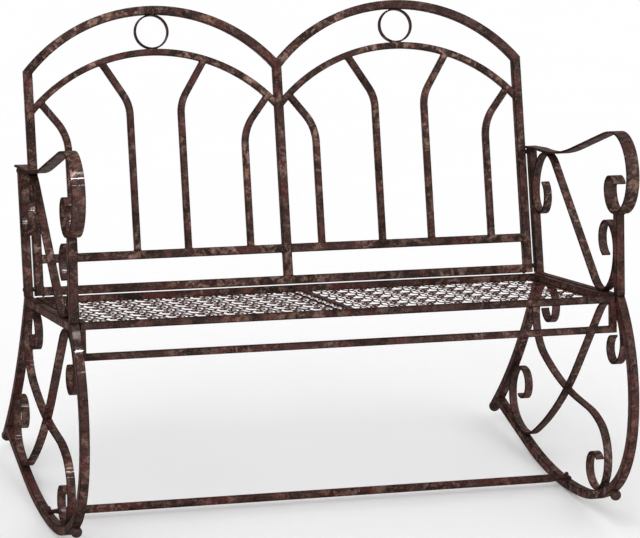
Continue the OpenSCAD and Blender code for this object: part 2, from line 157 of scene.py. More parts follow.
# Fasteners
BOLT_D = 6
HEAD_D = 11
HEAD_H = 2.4
SOCKET_R = 2.0
SOCKET_DEPTH = 1.3
NUT_AF = 10
NUT_H = 5
INSERT_H = 8
SPACER_D = 9
INSERT_WALL = 0.8
THREAD_PITCH = 0.8
THREAD_DEPTH = 0.45
CAP_NUT_AF = 8
CAP_NUT_TOP = 7.5
CAP_DOME_R = 3.9
STUD_R = 2.4
STUD_TOP = 7.8

# Thickness of the paint, rounding of the edges of tube and flat bar, and the longest mesh step and
# turn along a bar
PAINT = 0.3
TUBE_ROUND = 0.8
SLIM_ROUND = 0.7
FLAT_ROUND = 0.6
STEP = 6.0
TURN_STEP = 4.0

# Weld beads: radii, length of a mesh step, how far they stay inside a bar's width, and their
# places at a groove, round the scrolls' crossing and beside a ring
BEAD_R = 1.7
TANGENT_BEAD_R = 1.5
RING_BEAD_R = 1.4
CROSS_BEAD_R = 1.3
BEAD_STEP = 1.2
BEAD_SIDES = 8
BEAD_INSET = 1.6
GROOVE = 1.1
GROOVE_DEPTH = 0.5
LEANING_TOUCH_DROP = 12
ARM_CURL_TOP = 600
CROSS_BEAD_OUT = 3.6
CROSS_BEAD_TURN = 25
CROSS_BEAD_INSET = 2
RING_BEAD_SIDE = 9
RING_BEAD_HALF = 5

# Nearness to an edge of the small pieces, which darkens their paint as painted shade
BEAD_EDGE = 0.3
TURNED_EDGE = 0.2
NUT_EDGE = 0.4


# Frames and runs

def rotation(angle, axis):
    """Turn of an angle in degrees round an axis."""
    return Matrix.Rotation(math.radians(angle), 4, axis)


def floor_arc_middle():
    """Middle of the rockers' floor arc, which stays over the contact when the bench rocks."""
    toe, arc = math.radians(TOE[2]), math.radians(FLOOR_HEADING)
    y = TOE[0] - TOE_R * math.sin(toe) - (FLOOR_R - TOE_R) * math.sin(arc)
    z = TOE[1] + TOE_R * math.cos(toe) + (FLOOR_R - TOE_R) * math.cos(arc)
    return y, z


def rest_matrix():
    """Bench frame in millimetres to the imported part's frame in metres."""
    y, z = floor_arc_middle()
    return (Matrix.Scale(MM, 4) @ Matrix.Translation((0, -BOX_MID_Y, FLOOR_R + TUBE / 2))
            @ rotation(-REST_LEAN, "X") @ Matrix.Translation((0, -y, -z)))


REST = rest_matrix()


def side_plane(x):
    """Plane of a side frame at x: local X is the bench's Y, local Y is up, local Z is X."""
    return Matrix(((0, 0, 1, x), (1, 0, 0, 0), (0, 1, 0, 0), (0, 0, 0, 1)))


def back_plane():
    """Plane of the back: local Y runs up the back and local Z points to the front."""
    return Matrix.Translation((0, BACK_Y0, 0)) @ rotation(90 - BACK_LEAN, "X")


def on_arc(p, radius, side, angle):
    """Point reached from p along an arc of some angle, to the left where side is 1."""
    a, b = math.radians(p[2]), math.radians(p[2] + angle)
    return (p[0] + side * radius * (math.sin(b) - math.sin(a)),
            p[1] - side * radius * (math.cos(b) - math.cos(a)), p[2] + angle)


def moved_on(p, length):
    """Point reached from p by going straight on."""
    a = math.radians(p[2])
    return (p[0] + length * math.cos(a), p[1] + length * math.sin(a), p[2])


def run_points(start, steps):
    """Middle line of a run as (x, y, heading) points, close together where it bends."""
    points = [start]
    for radius, turn in steps:
        p = points[-1]
        if radius == 0:
            n = max(1, round(turn / STEP))
            points += [moved_on(p, turn * k / n) for k in range(1, n + 1)]
        else:
            length = radius * math.radians(abs(turn))
            n = max(1, math.ceil(max(abs(turn) / TURN_STEP, length / STEP)))
            side = 1 if turn > 0 else -1
            points += [on_arc(p, radius, side, turn * k / n) for k in range(1, n + 1)]
    return points


def straight(x0, y0, x1, y1):
    """Middle line of a straight bar."""
    heading = math.degrees(math.atan2(y1 - y0, x1 - x0))
    return run_points((x0, y0, heading), [(0, math.hypot(x1 - x0, y1 - y0))])


# Cuts at the ends of a bar: each takes a point and its direction to where the bar stops

def to_line(px, py, nx, ny):
    """Stops on the line through (px, py) with that normal."""
    def cut(p, d):
        reach = ((px - p[0]) * nx + (py - p[1]) * ny) / (d[0] * nx + d[1] * ny)
        return p[0] + d[0] * reach, p[1] + d[1] * reach
    return cut


def to_circle(cx, cy, r):
    """Stops on a circle round (cx, cy), on the side that the bar is heading for."""
    def cut(p, d):
        ex, ey = p[0] - cx, p[1] - cy
        b = ex * d[0] + ey * d[1]
        reach = -b + math.sqrt(max(b * b - (ex * ex + ey * ey - r * r), 0))
        return p[0] + d[0] * reach, p[1] + d[1] * reach
    return cut


def to_arches(p, d):
    """Stops on the underside of the outer arch of the half of the back that the point is in."""
    side = 1 if p[0] >= 0 else -1
    return to_circle(side * BAY_MID, OUTER_ARCH_S, ARCH_R - TUBE)(p, d)


# Meshes

def rounded_section(thick, wide, radius, corner_steps=4):
    """Outline of a bar's section as (across the plane, along local Z, nearness to an edge)."""
    points = []
    thin = thick < 5
    inset = min(1.6, (min(thick, wide) / 2 - radius) * 0.8)
    for k, (sx, sy) in enumerate(((1, 1), (-1, 1), (-1, -1), (1, -1))):
        cx, cy = sx * (thick / 2 - radius), sy * (wide / 2 - radius)
        a0 = k * math.pi / 2
        before = (cx + radius * math.cos(a0) + inset * math.sin(a0),
                  cy + radius * math.sin(a0) - inset * math.cos(a0))
        after = (cx + radius * math.cos(a0 + math.pi / 2) - inset * math.sin(a0 + math.pi / 2),
                 cy + radius * math.sin(a0 + math.pi / 2) + inset * math.cos(a0 + math.pi / 2))
        # The narrow side faces of a thin bar count as near an edge, so their paint is darkened as painted
        # shade
        beside = k % 2 == 1 and thin
        if inset > 0.2:
            points.append((before[0], before[1], 0.9 if beside else 0.0))
        for i in range(corner_steps + 1):
            a = a0 + math.pi / 2 * i / corner_steps
            near = 1 - 0.35 * abs(2 * i / corner_steps - 1)
            points.append((cx + radius * math.cos(a), cy + radius * math.sin(a), near))
        if inset > 0.2:
            points.append((after[0], after[1], 0.9 if thin and not beside else 0.0))
    return points


class Shape:
    """Vertices in the bench frame, faces and each vertex's nearness to an edge."""

    def __init__(self):
        self.verts, self.faces, self.edge = [], [], []

    def add(self, verts, faces, edge):
        base = len(self.verts)
        self.verts += [tuple(v) for v in verts]
        self.faces += [tuple(base + i for i in f) for f in faces]
        self.edge += list(edge)

    def mirrored(self):
        other = Shape()
        other.add([(-x, y, z) for x, y, z in self.verts], [f[::-1] for f in self.faces], self.edge)
        return other


WELDS = Shape()
BOTH_ENDS = ("start", "end")


def bead(p0, p1, radius=BEAD_R):
    """Weld bead from one point to another, with the ripples of a hand-held torch."""
    p0, p1 = Vector(p0), Vector(p1)
    along = (p1 - p0).normalized()
    side = along.orthogonal().normalized()
    up = along.cross(side)
    n, m = max(4, round((p1 - p0).length / BEAD_STEP)), BEAD_SIDES
    verts, faces = [], []
    for i in range(n + 1):
        at = p0.lerp(p1, i / n)
        taper = 0.45 if i in (0, n) else 1
        ripple = 1 + 0.16 * math.sin(i * 2.4)
        uneven = 1 + 0.3 * noise.noise(at * 0.35)
        r = radius * taper * ripple * uneven
        for j in range(m):
            a = 2 * math.pi * j / m
            verts.append(at + side * (r * math.cos(a)) + up * (r * math.sin(a)))
    for i in range(n):
        for j in range(m):
            k = (j + 1) % m
            faces.append((i * m + j, i * m + k, (i + 1) * m + k, (i + 1) * m + j))
    faces.append(tuple(range(m))[::-1])
    faces.append(tuple(n * m + j for j in range(m)))
    WELDS.add(verts, faces, [BEAD_EDGE] * len(verts))


def cross_bead(plane, at, half, radius=BEAD_R):
    """Weld bead along local Z of a plane, from half its length below to half above."""
    bead(plane @ Vector((*at, -half)), plane @ Vector((*at, half)), radius)


def skin(n, m, closed=False):
    """Faces over n rings of m points each, which end in a cap unless the rings run round."""
    faces = []
    for i in range(n if closed else n - 1):
        j = (i + 1) % n
        for k in range(m):
            after = (k + 1) % m
            faces.append((i * m + k, j * m + k, j * m + after, i * m + after))
    if not closed:
        faces.append(tuple(range(m)))
        faces.append(tuple((n - 1) * m + k for k in range(m))[::-1])
    return faces


def sweep(shape, points, section, plane, start_cut=None, end_cut=None, welds=(), closed=False):
    """Bar of a section along a middle line, with its ends cut to fit and welded where named."""
    thick = max(abs(across) for across, deep, near in section)
    clear = thick * 1.5
    if start_cut:
        points = [points[0]] + [p for p in points[1:] if math.dist(p[:2], points[0][:2]) > clear]
    if end_cut:
        points = [p for p in points[:-1] if math.dist(p[:2], points[-1][:2]) > clear] + [points[-1]]
    n = len(points)
    rings, edge = [], []
    for i, (x, y, heading) in enumerate(points):
        a = math.radians(heading)
        d = (math.cos(a), math.sin(a))
        ring = []
        for across, deep, near in section:
            p = (x - across * math.sin(a), y + across * math.cos(a))
            if i == 0 and start_cut:
                p = start_cut(p, (-d[0], -d[1]))
            if i == n - 1 and end_cut:
                p = end_cut(p, d)
            ring.append((p[0], p[1], deep))
            edge.append(near)
        rings.append(ring)
    verts = [plane @ Vector(v) for ring in rings for v in ring]
    shape.add(verts, skin(n, len(section), closed), edge)
    half = max(deep for across, deep, near in section) - BEAD_INSET
    for end in welds:
        ring = rings[0] if end == "start" else rings[-1]
        for side in (1, -1):
            row = [p for p, (across, deep, near) in zip(ring, section) if across * side > thick - 0.2]
            x = sum(p[0] for p in row) / len(row)
            y = sum(p[1] for p in row) / len(row)
            cross_bead(plane, (x, y), half)
    return shape


def turned(shape, profile, plane, steps=48):
    """Solid of revolution round local Z from (radius, height) points."""
    verts, faces = [], []
    m = len(profile)
    for i in range(steps):
        a = 2 * math.pi * i / steps
        for r, h in profile:
            verts.append(plane @ Vector((r * math.cos(a), r * math.sin(a), h)))
    for i in range(steps):
        j = (i + 1) % steps
        for k in range(m - 1):
            faces.append((i * m + k, j * m + k, j * m + k + 1, i * m + k + 1))
    shape.add(verts, faces, [TURNED_EDGE] * len(verts))


def hexagon(shape, af, z0, z1, plane, chamfer=0.5):
    """Hexagon of some size across flats, with the corners turned off at its outer end."""
    verts, faces = [], []
    levels = [(1.0, z0), (1.0, z1 - chamfer), (0.93, z1)]
    corner = af / 2 / math.cos(math.radians(30))
    for scale, z in levels:
        r = scale * corner
        for k in range(6):
            a = math.radians(60 * k)
            verts.append(plane @ Vector((r * math.cos(a), r * math.sin(a), z)))
    for i in range(2):
        for k in range(6):
            after = (k + 1) % 6
            faces.append((i * 6 + k, i * 6 + after, (i + 1) * 6 + after, (i + 1) * 6 + k))
    faces.append((5, 4, 3, 2, 1, 0))
    faces.append((12, 13, 14, 15, 16, 17))
    shape.add(verts, faces, [NUT_EDGE] * len(verts))


def build(name, shape, material, nodes=(), smooth=38):
    """Object of a shape that rides on the bench and stands for its CAD nodes."""
    mesh = bpy.data.meshes.new(name)
    mesh.from_pydata([tuple(REST @ Vector(v)) for v in shape.verts], [], shape.faces)
    attribute = mesh.attributes.new("edge", "FLOAT", "POINT")
    attribute.data.foreach_set("value", shape.edge)
    mesh.materials.append(material)
    mesh.shade_smooth()
    mesh.set_sharp_from_angle(angle=math.radians(smooth))
    obj = bpy.data.objects.new(name, mesh)
    bpy.context.scene.collection.objects.link(obj)
    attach(obj, "root")
    if nodes:
        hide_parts(*nodes)
    return obj


# Finish

def colour(r, g, b):
    """Linear colour from the 0 to 255 values that a screen shows."""
    def linear(v):
        v /= 255
        return v / 12.92 if v <= 0.04045 else ((v + 0.055) / 1.055) ** 2.4
    return (linear(r), linear(g), linear(b), 1)


class Nodes:
    """Short names for building a material's nodes."""

    def __init__(self, name):
        self.material = bpy.data.materials.new(name)
        self.material.use_nodes = True
        self.tree = self.material.node_tree
        self.bsdf = self.tree.nodes["Principled BSDF"]
        self.place = self.tree.nodes.new("ShaderNodeTexCoord").outputs["Object"]

    def node(self, kind, inputs=None, **settings):
        node = self.tree.nodes.new(kind)
        for key, value in settings.items():
            setattr(node, key, value)
        for key, value in (inputs or {}).items():
            self.put(node.inputs[key], value)
        return node

    def put(self, socket, value):
        if isinstance(value, bpy.types.NodeSocket):
            self.tree.links.new(value, socket)
        else:
            socket.default_value = value

    def noise(self, scale, detail, roughness=0.55, distortion=0.0):
        return self.node("ShaderNodeTexNoise", {
            "Vector": self.place, "Scale": scale, "Detail": detail,
            "Roughness": roughness, "Distortion": distortion}).outputs["Fac"]

    def ramp(self, value, low, high, out_low=0.0, out_high=1.0):
        return self.node("ShaderNodeMapRange", {
            "Value": value, "From Min": low, "From Max": high,
            "To Min": out_low, "To Max": out_high}, interpolation_type="SMOOTHSTEP").outputs["Result"]

    def mix(self, factor, a, b):
        node = self.node("ShaderNodeMix", data_type="RGBA")
        self.put(node.inputs["Factor"], factor)
        self.put(node.inputs[6], a)
        self.put(node.inputs[7], b)
        return node.outputs[2]

    def math(self, operation, a, b):
        node = self.node("ShaderNodeMath", operation=operation)
        self.put(node.inputs[0], a)
        self.put(node.inputs[1], b)
        return node.outputs[0]

    def times(self, a, b):
        return self.math("MULTIPLY", a, b)

    def surface(self, name, value):
        self.put(self.bsdf.inputs[name], value)


BROWN = colour(66, 45, 42)
DARK_BROWN = colour(42, 30, 27)
RED_BROWN = colour(88, 50, 47)
TAN = colour(166, 134, 124)
OCHRE = colour(142, 110, 90)
FLECK = colour(165, 138, 124)
PIT = colour(26, 19, 18)
# EDGE is the colour of the painted shade along edges and the side faces of thin bars
EDGE = colour(27, 20, 18)
SHADE = colour(20, 15, 14)
WARM_LIGHT_TINT = colour(112, 58, 46)


def bronze(name, rub=1.0, dark=0.0, warm=0.0, rough=0.42, grain=1.0, gloss=1.0):
    """Dark bronze paint, rubbed with tan in patches and fine specks, darker along the edges as painted
    shade.
    """
    n = Nodes(name)
    edge = n.node("ShaderNodeAttribute", attribute_name="edge").outputs["Fac"]
    base = n.mix(n.ramp(n.noise(18, 3), 0.38, 0.62), BROWN, DARK_BROWN)
    red = n.ramp(n.noise(24, 4, 0.6, 0.5), 0.49, 0.63, 0, 0.75)
    tone = n.mix(red, base, RED_BROWN)
    region = n.ramp(n.noise(11, 3), 0.4, 0.62, 0.15, 1)
    spots = n.ramp(n.noise(66, 5, 0.62, 0.7), 0.46, 0.62)
    specks = n.ramp(n.noise(240, 4, 0.62), 0.36, 0.6, 0.5, 1)
    patches = n.times(region, spots)
    rubbed = n.times(patches, n.times(specks, 0.56 * rub))
    tan = n.mix(n.ramp(n.noise(37, 2), 0.4, 0.6), TAN, OCHRE)
    tone = n.mix(rubbed, tone, tan)
    fleck = n.times(n.ramp(n.noise(430, 3), 0.58, 0.68), 0.25 * rub)
    tone = n.mix(fleck, tone, FLECK)
    pit = n.ramp(n.noise(200, 4), 0.34, 0.46, 0.5, 0)
    tone = n.mix(pit, tone, PIT)
    # Painted shade: the paint darkens where a vertex lies near an edge, standing in for the dark that
    # rounded edges and side faces reflect
    painted_edge_shade = n.times(edge, n.ramp(n.noise(90, 3), 0.35, 0.6, 0.55, 0.95))
    tone = n.mix(painted_edge_shade, tone, EDGE)
    tone = n.mix(dark, tone, SHADE)
    tone = n.mix(warm, tone, WARM_LIGHT_TINT)
    smooth = n.ramp(edge, 0.2, 0.9, 1, 0.1)
    n.surface("Base Color", tone)
    n.surface("Metallic", n.ramp(rubbed, 0, 0.6, 0.06, 0.25))
    n.surface("Roughness", n.ramp(n.noise(75, 4), 0.3, 0.7, rough - 0.08, rough + 0.16))
    n.surface("Specular IOR Level", 0.0)
    n.surface("Specular Tint", (0.3, 0.27, 0.25, 1))
    shine = n.ramp(n.noise(50, 3), 0.3, 0.6, 0.015 * gloss, 0.05 * gloss)
    n.surface("Coat Weight", n.times(smooth, shine))
    n.surface("Coat Roughness", 0.07)
    n.surface("Coat IOR", 2.4)
    fine = n.times(n.noise(240, 4), 0.5)
    height = n.math("ADD", fine, n.times(n.noise(60, 2), 0.5))
    bump = n.node("ShaderNodeBump", {"Height": height, "Strength": 0.3 * grain, "Distance": 0.0006})
    n.surface("Normal", bump.outputs["Normal"])
    return n.material


tube_finish = bronze("tube_bronze")
# The back's finish is rubbed lighter as painted light, because the back faces the light from the front and
# above
back_lit_finish = bronze("back_lit_bronze", rub=1.3)
bar_finish = bronze("bar_bronze", rub=1.25, rough=0.34, gloss=1.6)
stretcher_finish = bronze("stretcher_bronze", rub=0.8, rough=0.55, gloss=0.2)
# The sheet's warm tint is painted light: it stands in for the warm light seen through its holes
sheet_finish = bronze("sheet_bronze", rub=1.0, warm=0.2, rough=0.4)
ball_finish = bronze("ball_bronze", rough=0.36, gloss=1.3)
weld_finish = bronze("weld_bronze", rub=0.5, dark=0.3, rough=0.5, grain=2.0)
bolt_finish = bronze("bolt_bronze", rub=0.7, dark=0.2, rough=0.34, grain=0.6)

TUBE_SECTION = rounded_section(TUBE + 2 * PAINT, TUBE + 2 * PAINT, TUBE_ROUND)
SLIM_SECTION = rounded_section(SLIM + 2 * PAINT, SLIM + 2 * PAINT, SLIM_ROUND)
ARM_SECTION = rounded_section(FLAT_T + PAINT, ARM_W + PAINT, FLAT_ROUND, 3)
SCROLL_SECTION = rounded_section(FLAT_T + PAINT, SCROLL_W + PAINT, FLAT_ROUND, 3)
NARROW_SECTION = rounded_section(FLAT_T + PAINT, SCROLL_W, FLAT_ROUND, 3)
CENTRE_BAR_SECTION = rounded_section(SLIM, CENTRE_BAR_T, FLAT_ROUND)
RING_SECTION = rounded_section(RING_WALL + PAINT, RING_W + PAINT, 0.9, 3)


# Side frames

def tangent_welds(points, plane, x, y, nx, ny, wide=SCROLL_W, span=16):
    """Beads in the two grooves where a bent bar touches a face near (x, y) with that normal."""
    near = min(points, key=lambda p: math.dist(p[:2], (x, y)))
    face = near[0] * nx + near[1] * ny + FLAT_T / 2
    for side in (1, -1):
        along = [p for p in points
                 if 0 < side * ((p[0] - near[0]) * ny - (p[1] - near[1]) * nx) < span
                 and math.dist(p[:2], near[:2]) < span]
        gaps = [(abs(face - FLAT_T / 2 - (p[0] * nx + p[1] * ny) - GROOVE), p) for p in along]
        if not gaps:
            continue
        p = min(gaps, key=lambda g: g[0])[1]
        depth = face - GROOVE_DEPTH - (p[0] * nx + p[1] * ny)
        at = (p[0] + nx * depth, p[1] + ny * depth)
        cross_bead(plane, at, wide / 2 - TANGENT_BEAD_R, TANGENT_BEAD_R)


def side_frame(side, x):
    """Posts, rail, legs, rocker, armrest and scrolls of the side frame at x."""
    plane = side_plane(x)
    lean = math.radians(BACK_LEAN)

    def piece(name, points, section, finish=bar_finish, slot="flat_bar", **ends):
        shape = sweep(Shape(), points, section, plane, **ends)
        build("%s_%s_mesh" % (side, name), shape, finish, ["%s_%s" % (side, name)])

    def tube(name, points, **ends):
        piece(name, points, TUBE_SECTION, tube_finish, "tube_frame", **ends)

    def post_y(z):
        return BACK_Y0 - REAR_POST_AHEAD + z * math.tan(lean)

    arm_z = ARM_TOP - FLAT_T
    tube("rear_post", straight(post_y(RAIL_TOP), RAIL_TOP, post_y(arm_z), arm_z),
         start_cut=to_line(0, RAIL_TOP, 0, 1), end_cut=to_line(0, arm_z, 0, 1), welds=BOTH_ENDS)
    tube("front_post", straight(0, RAIL_TOP, 0, FRONT_POST_TOP + 0.4), welds=BOTH_ENDS)

    leg = run_points(*FRONT_LEG)
    back_leg = run_points(*REAR_LEG)
    rail_z = RAIL_TOP - TUBE / 2
    front = min(leg, key=lambda p: abs(p[1] - rail_z))
    rear = min(back_leg, key=lambda p: abs(p[1] - rail_z))
    cuts = []
    for p, sense in ((front, 1), (rear, -1)):
        a = math.radians(p[2])
        nx, ny = -math.sin(a), math.cos(a)
        if sense * nx < 0:
            nx, ny = -nx, -ny
        cuts.append(to_line(p[0] + nx * TUBE / 2, p[1] + ny * TUBE / 2, nx, ny))
    tube("side_rail", straight(RAIL_FROM, rail_z, RAIL_TO, rail_z),
         start_cut=cuts[0], end_cut=cuts[1], welds=BOTH_ENDS)
    tube("front_leg", leg, start_cut=to_line(0, RAIL_TOP, 0, 1), welds=("end",))
    tube("rear_leg", back_leg, start_cut=to_line(0, RAIL_TOP, 0, 1))
    joint = on_arc(REAR_LEG[0], REAR_LEG[1][0][0], 1, HEEL_TURN)
    a = math.radians(joint[2])
    nx, ny = math.sin(a), -math.cos(a)
    rocker = run_points(*ROCKER)
    tube("rocker", rocker, welds=("end",),
         end_cut=to_line(joint[0] + nx * TUBE / 2, joint[1] + ny * TUBE / 2, nx, ny))

    arm = run_points(*ARMREST)
    piece("armrest", arm, ARM_SECTION)
    half = run_points(*FRONT_SCROLL)
    cx, cy = half[0][:2]
    turned_half = [(2 * cx - p[0], 2 * cy - p[1], p[2]) for p in run_points(*REAR_SCROLL)[:0:-1]]
    upper = turned_half + half
    piece("upper_scroll", upper, SCROLL_SECTION)
    long_run = run_points(*LONG_SCROLL)
    piece("long_scroll", long_run, SCROLL_SECTION)
    cross_run = run_points(*CROSS_SCROLL)
    piece("cross_scroll", cross_run, NARROW_SECTION)

    low = min(half, key=lambda p: p[1])
    left = min(half, key=lambda p: p[0])
    tangent_welds(upper, plane, low[0], low[1], 0, -1)
    tangent_welds(upper, plane, left[0], left[1], -1, 0)
    high = (2 * cx - low[0], 2 * cy - low[1])
    right = (2 * cx - left[0], 2 * cy - left[1] - LEANING_TOUCH_DROP)
    tangent_welds(upper, plane, high[0], high[1], 0, 1)
    tangent_welds(upper, plane, right[0], right[1], math.cos(lean), -math.sin(lean))
    for run in (long_run, cross_run):
        top = max(run, key=lambda p: p[1])
        tangent_welds(run, plane, top[0], top[1], 0, 1)
        near = min(run, key=lambda p: min(math.dist(p[:2], r[:2]) for r in rocker))
        r = min(rocker, key=lambda q: math.dist(q[:2], near[:2]))
        dx, dy = r[0] - near[0], r[1] - near[1]
        size = math.hypot(dx, dy)
        tangent_welds(run, plane, near[0], near[1], dx / size, dy / size)
    p, q = min(((p, q) for p in long_run for q in cross_run),
               key=lambda pair: math.dist(pair[0][:2], pair[1][:2]))
    for i in range(4):
        a = math.radians(p[2] if i % 2 else q[2]) + math.radians(CROSS_BEAD_TURN + 90 * i)
        at = (p[0] + CROSS_BEAD_OUT * math.cos(a), p[1] + CROSS_BEAD_OUT * math.sin(a))
        cross_bead(plane, at, SCROLL_W / 2 - CROSS_BEAD_INSET, CROSS_BEAD_R)
    curl = [p for p in arm if p[1] < ARM_CURL_TOP]
    tangent_welds(curl, plane, 0, FRONT_POST_TOP + FLAT_T / 2, 0, -1, TUBE)


def ball_profile(r, flat):
    """Ball with a flat at some height over its middle, from the flat down to its pole."""
    top = math.acos(min(flat / r, 1))
    return [(0, flat)] + [(r * math.sin(top + (math.pi - top) * k / 28),
                           r * math.cos(top + (math.pi - top) * k / 28)) for k in range(29)]


def balls():
    """Balls at the foot of the front legs and at the end of the rear legs, with their collars."""
    front, rear = Shape(), Shape()
    end = run_points(*REAR_LEG)[-1]
    for x in (-SIDE_X, SIDE_X):
        toe = side_plane(x) @ Matrix.Translation((TOE[0], TOE[1], 0)) @ rotation(TOE[2], "Z")
        under = -TUBE / 2 - FRONT_BALL_DROP
        at = toe @ Matrix.Translation((-FRONT_BALL_BACK, under, 0)) @ rotation(-90, "X")
        turned(front, ball_profile(FRONT_BALL_D / 2, FRONT_BALL_FLAT), at)
        at = toe @ Matrix.Translation((-FRONT_BALL_BACK, -TUBE / 2, 0)) @ rotation(-90, "X")
        turned(front, FRONT_COLLAR, at)
        heel = side_plane(x) @ Matrix.Translation((end[0], end[1], 0)) @ rotation(end[2], "Z")
        at = heel @ Matrix.Translation((REAR_BALL_OUT, 0, 0)) @ rotation(-90, "Y")
        turned(rear, ball_profile(REAR_BALL_D / 2, REAR_BALL_FLAT), at)
        turned(rear, REAR_COLLAR, heel @ rotation(-90, "Y"))
    build("front_balls_mesh", front, ball_finish, ["front_balls"])
    build("rear_balls_mesh", rear, ball_finish, ["rear_balls"])


# Back

def back_piece(name, shape, finish=back_lit_finish):
    """Piece of the back that stands for one node."""
    build(name + "_mesh", shape, finish, [name])


def back():
    """Posts, rails, arches, rings and spindles of the back."""
    plane = back_plane()

    def tube(name, points, **ends):
        back_piece(name, sweep(Shape(), points, TUBE_SECTION, plane, **ends))

    for side, sx in (("left", -1), ("right", 1)):
        post_x = sx * PANEL_HALF
        tube(side + "_back_post", straight(post_x, BOTTOM_RAIL_S - TUBE / 2, post_x, POST_REACH),
             end_cut=to_arches)
        tube(side + "_mid_rail", straight(sx * BAY_INNER, MID_RAIL_S, sx * BAY_OUTER, MID_RAIL_S),
             welds=BOTH_ENDS)
        for kind, s, section, thick, x0, x1 in (
                ("outer", OUTER_ARCH_S, TUBE_SECTION, TUBE, 0, PANEL_HALF + TUBE / 2),
                ("inner", INNER_ARCH_S, SLIM_SECTION, SLIM, BAY_INNER, BAY_OUTER)):
            r = ARCH_R - thick / 2
            a0, a1 = (math.degrees(math.acos((x - BAY_MID) / r)) for x in (x1, x0))
            start = (BAY_MID + r * math.cos(math.radians(a0)), s + r * math.sin(math.radians(a0)), a0 + 90)
            points = run_points(start, [(r, a1 - a0)])
            shape = sweep(Shape(), points, section, plane, start_cut=to_line(x1, 0, 1, 0),
                          end_cut=to_line(x0, 0, 1, 0), welds=() if kind == "outer" else BOTH_ENDS)
            if sx < 0:
                shape = shape.mirrored()
            back_piece("%s_%s_arch" % (side, kind), shape)
        ring_r = (RING_D - RING_WALL) / 2
        ring_s = INNER_CROWN + RING_D / 2
        steps = 96
        points = [(sx * BAY_MID + ring_r * math.cos(2 * math.pi * k / steps),
                   ring_s + ring_r * math.sin(2 * math.pi * k / steps), 90 + 360 * k / steps)
                  for k in range(steps)]
        ring = sweep(Shape(), points, RING_SECTION, plane, closed=True)
        back_piece(side + "_ring", ring, bar_finish)
        for face, s in ((1, INNER_CROWN), (-1, INNER_CROWN + RING_D)):
            for dx in (-RING_BEAD_SIDE, RING_BEAD_SIDE):
                drop = ARCH_R - math.sqrt(ARCH_R ** 2 - dx ** 2)
                cross_bead(plane, (sx * BAY_MID + dx, s + face - drop), RING_BEAD_HALF, RING_BEAD_R)
        for kind, (gap, bend_s, bend_r, bend_turn) in SPINDLES.items():
            pair = Shape()
            foot = MID_RAIL_S + TUBE / 2
            for flip in (1, -1):
                points = run_points((sx * BAY_MID + flip * gap / 2, foot, 90),
                                    [(0, bend_s - foot), (bend_r, -flip * bend_turn)])
                last = points[-1]
                heading = (math.cos(math.radians(last[2])), math.sin(math.radians(last[2])))
                stop = to_circle(sx * BAY_MID, INNER_ARCH_S, ARCH_R - SLIM)
                end = stop(last[:2], heading)
                points += run_points(last, [(0, math.dist(end, last[:2]))])[1:]
                sweep(pair, points, SLIM_SECTION, plane, end_cut=stop, welds=BOTH_ENDS)
            back_piece("%s_%s_spindles" % (side, kind), pair)
    tube("centre_back_post", straight(0, BOTTOM_RAIL_S + TUBE / 2, 0, CENTRE_POST_REACH),
         end_cut=to_arches, welds=("start",))
    tube("back_bottom_rail", straight(-BAY_OUTER, BOTTOM_RAIL_S, BAY_OUTER, BOTTOM_RAIL_S), welds=BOTH_ENDS)


# Seat, apron and stretcher

def seat():
    """Rails and centre bar of the seat, and the apron's posts and stretcher."""
    plane = Matrix.Translation((0, 0, SEAT_Z))

    def rail(node, x0, y0, x1, y1, **ends):
        shape = sweep(Shape(), straight(x0, y0, x1, y1), SLIM_SECTION, plane, **ends)
        build(node + "_mesh", shape, tube_finish, [node])

    half = SLIM / 2
    rail("seat_front_rail", -SEAT_SIDE_X - half, 0, SEAT_SIDE_X + half, 0)
    rail("seat_rear_rail", -SEAT_SIDE_X - half, SEAT_REAR_Y, SEAT_SIDE_X + half, SEAT_REAR_Y)
    for node, x in (("left_seat_rail", -SEAT_SIDE_X), ("right_seat_rail", SEAT_SIDE_X)):
        rail(node, x, half, x, SEAT_REAR_Y - half, welds=BOTH_ENDS)
    bar = sweep(Shape(), straight(0, half, 0, SEAT_REAR_Y - half), CENTRE_BAR_SECTION,
                Matrix.Translation((0, 0, SEAT_Z + half - CENTRE_BAR_T / 2)))
    build("seat_centre_bar_mesh", bar, tube_finish, ["seat_centre_bar"])

    posts = Shape()
    upright = Matrix(((1, 0, 0, 0), (0, 0, -1, 0), (0, 1, 0, 0), (0, 0, 0, 1)))
    for x in (-APRON_X, APRON_X):
        sweep(posts, straight(x, APRON_TOP, x, SEAT_Z - half), SLIM_SECTION, upright, welds=BOTH_ENDS)
    build("apron_posts_mesh", posts, tube_finish, ["apron_posts"])
    stretcher = sweep(Shape(), straight(-APRON_X - half, APRON_TOP - half, APRON_X + half, APRON_TOP - half),
                      SLIM_SECTION, upright)
    build("apron_stretcher_mesh", stretcher, tube_finish, ["apron_stretcher"])


def stretcher_frame():
    """Frame at the middle of the lower stretcher, with local Z out of the rockers' arc."""
    y, z = floor_arc_middle()
    return (Matrix.Translation((0, y, z)) @ rotation(STRETCHER_TILT, "X")
            @ Matrix.Translation((0, 0, -STRETCHER_R)))


